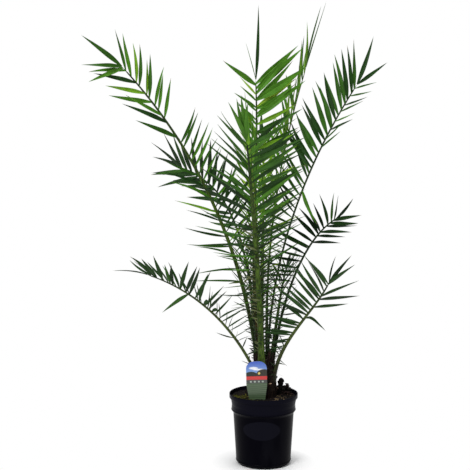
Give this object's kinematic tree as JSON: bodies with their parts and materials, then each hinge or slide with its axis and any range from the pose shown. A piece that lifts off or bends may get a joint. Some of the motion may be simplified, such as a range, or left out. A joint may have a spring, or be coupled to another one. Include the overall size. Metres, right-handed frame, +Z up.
{
  "type": "potted canary island date palm",
  "caption": "Young feather palm with arching fronds on a short fibrous stem, growing in a round black plastic nursery pot of soil with a care label.",
  "frame": {"origin": "centre of the pot's flat underside", "axes": "+Z up along the pot and the plant, +X to the right and +Y away from a viewer who sees the care label"},
  "size_m": [0.7246, 0.7001, 1.1603],
  "materials": {
    "pot_plastic": "satin black moulded plastic",
    "potting_soil": "rough crumbly peat and bark",
    "label_plastic": "glossy printed plastic",
    "stem_fibre": "rough brown fibre",
    "young_leaf": "satin yellow-green leaf",
    "mid_leaf": "satin mid-green leaf",
    "deep_leaf": "satin dark green leaf"
  },
  "bodies": {
    "root": {"pot": "pot_plastic", "soil": "potting_soil", "care_label": "label_plastic", "stem": "stem_fibre", "frond_centre_front": "mid_leaf", "frond_left_upper": "mid_leaf", "frond_left_lower": "deep_leaf", "frond_right_lower": "deep_leaf", "frond_right_upper": "deep_leaf", "frond_centre_back": "young_leaf", "frond_right_top": "young_leaf", "frond_right_middle": "deep_leaf", "frond_left_back": "deep_leaf", "frond_back": "mid_leaf", "frond_back_left": "deep_leaf", "frond_back_right": "deep_leaf", "frond_spear": "young_leaf"}
  },
  "joints": []
}
